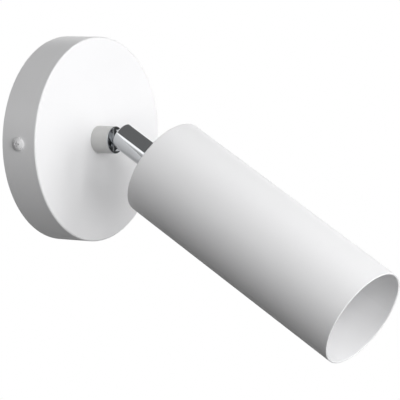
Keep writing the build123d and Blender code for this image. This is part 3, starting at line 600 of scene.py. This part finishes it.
class ThreadedNipples(bpy.types.Operator):
    """Cuts the M10 fine thread on both hollow nipples"""

    bl_idname = "spotlight.threaded_nipples"
    bl_label = "Threaded nipples"

    def execute(self, context):
        hardware = context.scene.spotlight_hardware
        material = bpy.data.materials["zinc_plate_bright"]
        for name, body, place, size in (
                ("rose_nipple", "rose", wall_place(ROSE_NIPPLE_START), ROSE_NIPPLE_LENGTH),
                ("head_nipple", "head", head_place(HEAD_NIPPLE_START), HEAD_NIPPLE_LENGTH)):
            mesh_data = bmesh.new()
            add_thread(mesh_data, NIPPLE_RADIUS * MM, hardware.nipple_pitch, start=0, end=size * MM,
                       bore=NIPPLE_BORE_RADIUS * MM, columns=hardware.thread_columns)
            new_object(name + "_threaded", mesh_data, place, material, body, (name,))
        return {"FINISHED"}


class CoverScrews(bpy.types.Operator):
    """Makes the two pan-head screws in the rose's rim, with their threads and cross recesses"""

    bl_idname = "spotlight.cover_screws"
    bl_label = "Cover screws"

    def execute(self, context):
        hardware = context.scene.spotlight_hardware
        material = screw_lacquer(context.scene.spotlight_finish)
        for name, side in (("cover_screw_left", -1), ("cover_screw_right", 1)):
            seat = Vector((side * ROSE_RADIUS, -SCREW_FROM_WALL, 0)) * MM
            outward = Vector((side, 0, 0)).to_track_quat("Z", "Y").to_matrix().to_4x4()
            place = Matrix.Translation(seat) @ outward
            mesh_data = recessed_head(hardware)
            add_thread(mesh_data, SCREW_RADIUS * MM, hardware.screw_pitch, start=-SCREW_LENGTH * MM, end=0,
                       bore=0, columns=hardware.thread_columns)
            new_object(name, mesh_data, place, material, "rose", ("cover_screws",))
        return {"FINISHED"}


class Studio(bpy.types.Operator):
    """Sets up the camera, the floor, the lamps and the sky"""

    bl_idname = "spotlight.studio"
    bl_label = "Studio"

    def execute(self, context):
        studio = context.scene.spotlight_studio
        place_camera(studio)
        lay_floor(studio)
        for name, direction, size, power in LAMPS:
            hang_lamp(name, Vector(direction), size, power)
        light_sky(studio)
        context.scene.view_settings.view_transform = "Standard"
        return {"FINISHED"}


# ---- studio ------------------------------------------------------------------------------------

# name, direction from the object, size in metres, watts
LAMPS = (
    ("front", (0.0, -1.0, 0.0), 0.9, 1.8),
    ("front_small", (0.0, -1.0, 0.3), 0.4, 0.8),
    ("front_centre", (0.15, -1.0, 0.1), 0.5, 3.4),
    ("front_left", (-0.6, -1.0, 0.2), 0.9, 11.1),
    ("front_right", (0.7, -1.0, 0.2), 0.9, 4.4),
    ("front_high", (0.0, -1.0, 0.8), 0.9, 3.0),
    ("left_high", (-0.8, -0.3, 0.8), 0.9, 3.1),
    ("left", (-1.0, -0.1, 0.5), 0.9, 2.1),
    ("right_high", (0.4, -0.6, 0.9), 0.6, 2.6),
    ("right_low", (0.8, -0.6, -0.3), 0.9, 1.9),
    ("behind", (0.5, 1.0, 0.3), 0.9, 6.0),
)
LAMP_DISTANCE = 1.4
AIM = Vector((0, -70, -20)) * MM

# The floor is a mid grey, which throws little light up at the object. Where it is seen, this is added.
FLOOR_GLOW = 0.58
MIRRORED_GLOW = 0.02
FLOOR_RADIUS = 1.5
FLOOR_FROM_WALL = 0.1

# What chrome mirrors, by how far the direction leans towards the wall: a dark room up to the first of these,
# and the wall's side from the second.
ROOM_ENDS, WALL_STARTS = -0.45, -0.2

# The wall's side by the sine of the height above the horizon: grey that darkens downwards, and above it a
# bright strip.
STRIP = 1.7
WALL_BRIGHTNESS = (
    (-0.6, 0.12), (-0.2, 0.3), (0.1, 0.6), (0.25, 0.85), (0.27, STRIP), (0.47, STRIP), (0.49, 0.2))

# The photograph's frame, and the point in it that its camera faced, in pixels.
IMAGE_WIDTH = 400
PRINCIPAL_X, PRINCIPAL_Y = 66.55, 137.83
SENSOR_WIDTH = 36


def place_camera(studio):
    """Sets the camera to the photograph's view, moved sideways instead of shifted."""
    azimuth, elevation = studio.azimuth, studio.elevation
    back = Vector((math.sin(azimuth) * math.cos(elevation), -math.cos(azimuth) * math.cos(elevation),
                   math.sin(elevation)))
    right = Vector((math.cos(azimuth), math.sin(azimuth), 0))
    up = back.cross(right)
    data = bpy.data.cameras.new("camera")
    data.lens, data.sensor_width = studio.lens, SENSOR_WIDTH
    data.clip_start, data.clip_end = 0.1, 20
    pixel = SENSOR_WIDTH / studio.lens / IMAGE_WIDTH * studio.distance
    middle = IMAGE_WIDTH / 2
    place = back * studio.distance + (right * (middle - PRINCIPAL_X) + up * (PRINCIPAL_Y - middle)) * pixel
    camera = bpy.data.objects.new("camera", data)
    camera.matrix_world = Matrix.Translation(place) @ Matrix((right, up, back)).transposed().to_4x4()
    bpy.context.scene.collection.objects.link(camera)
    bpy.context.scene.camera = camera


def lay_floor(studio):
    """A matt disc well below the light, pale where it is seen."""
    mesh_data = bmesh.new()
    bmesh.ops.create_circle(mesh_data, cap_ends=True, radius=FLOOR_RADIUS, segments=96)
    mesh_data.transform(Matrix.Translation((0, -FLOOR_FROM_WALL, -studio.floor_drop)))
    mesh = bpy.data.meshes.new("floor")
    mesh_data.to_mesh(mesh)
    mesh_data.free()
    material, tree, place = start_material("floor_pale_matt")
    mottle = add(tree, "TexNoise", Vector=place, Scale=per_mm(30))
    rays = add(tree, "LightPath")
    mirrored = add(
        tree, "Math", {"operation": "MULTIPLY"}, i0=rays.outputs["Is Glossy Ray"], i1=MIRRORED_GLOW)
    pale = add(tree, "Math", {"operation": "MULTIPLY_ADD"}, i0=rays.outputs["Is Camera Ray"], i1=FLOOR_GLOW,
               i2=mirrored)
    finish_material(
        tree, Roughness=0.75, Emission_Color=(1, 1, 1), Emission_Strength=pale,
        Base_Color=add(tree, "MixRGB", Fac=mottle, Color1=linear("#B6B6B6"), Color2=linear("#B2B2B2")))
    mesh.materials.append(material)
    floor = bpy.data.objects.new("floor", mesh)
    bpy.context.scene.collection.objects.link(floor)


def hang_lamp(name, direction, size, power):
    """A soft square lamp that chrome doesn't mirror."""
    data = bpy.data.lights.new(name, "AREA")
    data.shape, data.size, data.energy = "SQUARE", size, power
    lamp = bpy.data.objects.new(name, data)
    direction.normalize()
    turn = direction.to_track_quat("Z", "Y").to_matrix().to_4x4()
    lamp.matrix_world = Matrix.Translation(AIM + direction * LAMP_DISTANCE) @ turn
    lamp.visible_glossy = False
    bpy.context.scene.collection.objects.link(lamp)


def light_sky(studio):
    """White behind the object. Chrome sees a dark room, a grey wall and, above it, a bright strip."""
    world = bpy.data.worlds.new("sky")
    bpy.context.scene.world = world
    world.use_nodes = True
    tree = world.node_tree
    tree.nodes.clear()
    towards = add(tree, "SeparateXYZ", Vector=add(tree, "TexCoord").outputs["Generated"])
    height = add(tree, "MapRange", Value=towards.outputs["Z"], From_Min=-1.0, From_Max=1.0)
    ramp = add(tree, "ValToRGB", Fac=height)
    # The ramp comes with a stop at either end. One has to stay until the others are in.
    stops = ramp.color_ramp.elements
    stops.remove(stops[0])
    for sine, brightness in WALL_BRIGHTNESS:
        level = brightness / STRIP
        stops.new((1 + sine) / 2).color = (level, level, level, 1)
    stops.remove(stops[-1])
    wall = add(tree, "Math", {"operation": "MULTIPLY"}, i0=ramp, i1=STRIP)
    wall_side = add(tree, "MapRange", {"interpolation_type": "SMOOTHSTEP"}, Value=towards.outputs["Y"],
                    From_Min=ROOM_ENDS, From_Max=WALL_STARTS)
    mirrored_light = add(tree, "Mix", {"data_type": "FLOAT"}, i0=wall_side, i2=studio.room, i3=wall)
    rays = add(tree, "LightPath")
    mirrored = add(tree, "Math", {"operation": "MAXIMUM"}, i0=rays.outputs["Is Glossy Ray"],
                   i1=rays.outputs["Is Transmission Ray"])
    seen = add(tree, "Math", {"operation": "MAXIMUM"}, i0=rays.outputs["Is Camera Ray"], i1=mirrored)
    backdrop = add(tree, "Mix", {"data_type": "FLOAT"}, i0=mirrored, i2=1.0, i3=mirrored_light)
    strength = add(tree, "Mix", {"data_type": "FLOAT"}, i0=seen, i2=studio.ambient, i3=backdrop)
    add(tree, "OutputWorld", Surface=add(tree, "Background", Color=(1, 1, 1), Strength=strength))


# ---- panel and running -------------------------------------------------------------------------

PIECES = (CoatedParts, ChromedJoint, PlatedHardware, MouldedParts, ThreadedNipples, CoverScrews, Studio)


class SpotlightPanel(bpy.types.Panel):
    """Lists the steps and their settings"""

    bl_idname = "VIEW3D_PT_spotlight"
    bl_label = "Wall Spotlight"
    bl_space_type = "VIEW_3D"
    bl_region_type = "UI"
    bl_category = "Spotlight"

    def draw(self, context):
        layout = self.layout
        for settings in (context.scene.spotlight_finish, context.scene.spotlight_hardware,
                         context.scene.spotlight_studio):
            box = layout.box()
            for name in settings.bl_rna.properties.keys():
                if name not in ("rna_type", "name"):
                    box.prop(settings, name)
        for piece in PIECES:
            layout.operator(piece.bl_idname)


SETTINGS = {
    "spotlight_finish": SpotlightFinish,
    "spotlight_hardware": SpotlightHardware,
    "spotlight_studio": SpotlightStudio,
}
CLASSES = (*SETTINGS.values(), *PIECES, SpotlightPanel)


def register():
    for group in CLASSES:
        bpy.utils.register_class(group)
    for name, group in SETTINGS.items():
        setattr(bpy.types.Scene, name, PointerProperty(type=group))


def unregister():
    for name in SETTINGS:
        delattr(bpy.types.Scene, name)
    for group in reversed(CLASSES):
        bpy.utils.unregister_class(group)


def main():
    register()
    for piece in PIECES:
        group, _, action = piece.bl_idname.partition(".")
        getattr(getattr(bpy.ops, group), action)()


if __name__ == "__main__":
    main()
